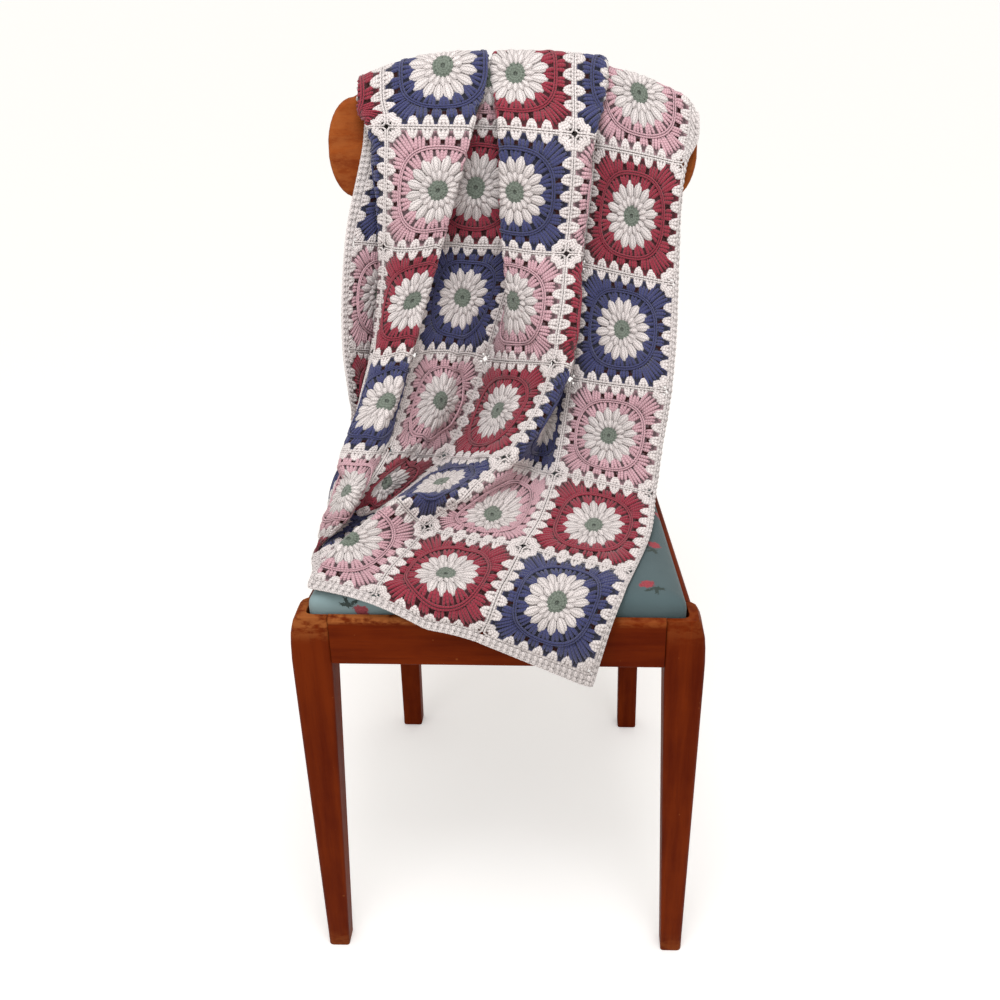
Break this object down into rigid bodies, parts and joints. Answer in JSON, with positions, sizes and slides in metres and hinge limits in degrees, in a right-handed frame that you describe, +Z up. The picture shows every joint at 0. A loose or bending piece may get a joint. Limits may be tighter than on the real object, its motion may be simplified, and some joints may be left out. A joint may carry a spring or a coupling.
{
  "type": "granny square blanket draped over a wooden dining chair",
  "caption": "Crochet granny square blanket draped over the back and seat of a plain wooden dining chair with a padded seat.",
  "frame": {"origin": "on the floor under the middle of the whole object's bounding box", "axes": "+Z up, +Y towards the chair's back, +X to the right of someone facing the chair's front"},
  "size_m": [0.4404, 0.5059, 0.9387],
  "materials": {
    "blanket": "crocheted yarn, cream with rose, pale pink and denim blue",
    "backrest_board": "old orange-brown varnish, worn at the edges",
    "back_post_left": "old orange-brown varnish",
    "back_post_right": "old orange-brown varnish",
    "front_leg_left": "old orange-brown varnish, worn at the edges",
    "front_leg_right": "old orange-brown varnish, worn at the edges",
    "front_rail": "old orange-brown varnish, worn along the top edge",
    "side_rail_left": "old orange-brown varnish",
    "side_rail_right": "old orange-brown varnish",
    "back_seat_rail": "old orange-brown varnish",
    "lower_back_rail": "old orange-brown varnish",
    "seat_pad": "printed cotton, duck-egg blue with rose sprigs"
  },
  "bodies": {
    "root": {"blanket": "blanket", "backrest_board": "backrest_board", "back_post_left": "back_post_left", "back_post_right": "back_post_right", "front_leg_left": "front_leg_left", "front_leg_right": "front_leg_right", "front_rail": "front_rail", "side_rail_left": "side_rail_left", "side_rail_right": "side_rail_right", "back_seat_rail": "back_seat_rail", "lower_back_rail": "lower_back_rail", "seat_pad": "seat_pad"}
  },
  "joints": []
}
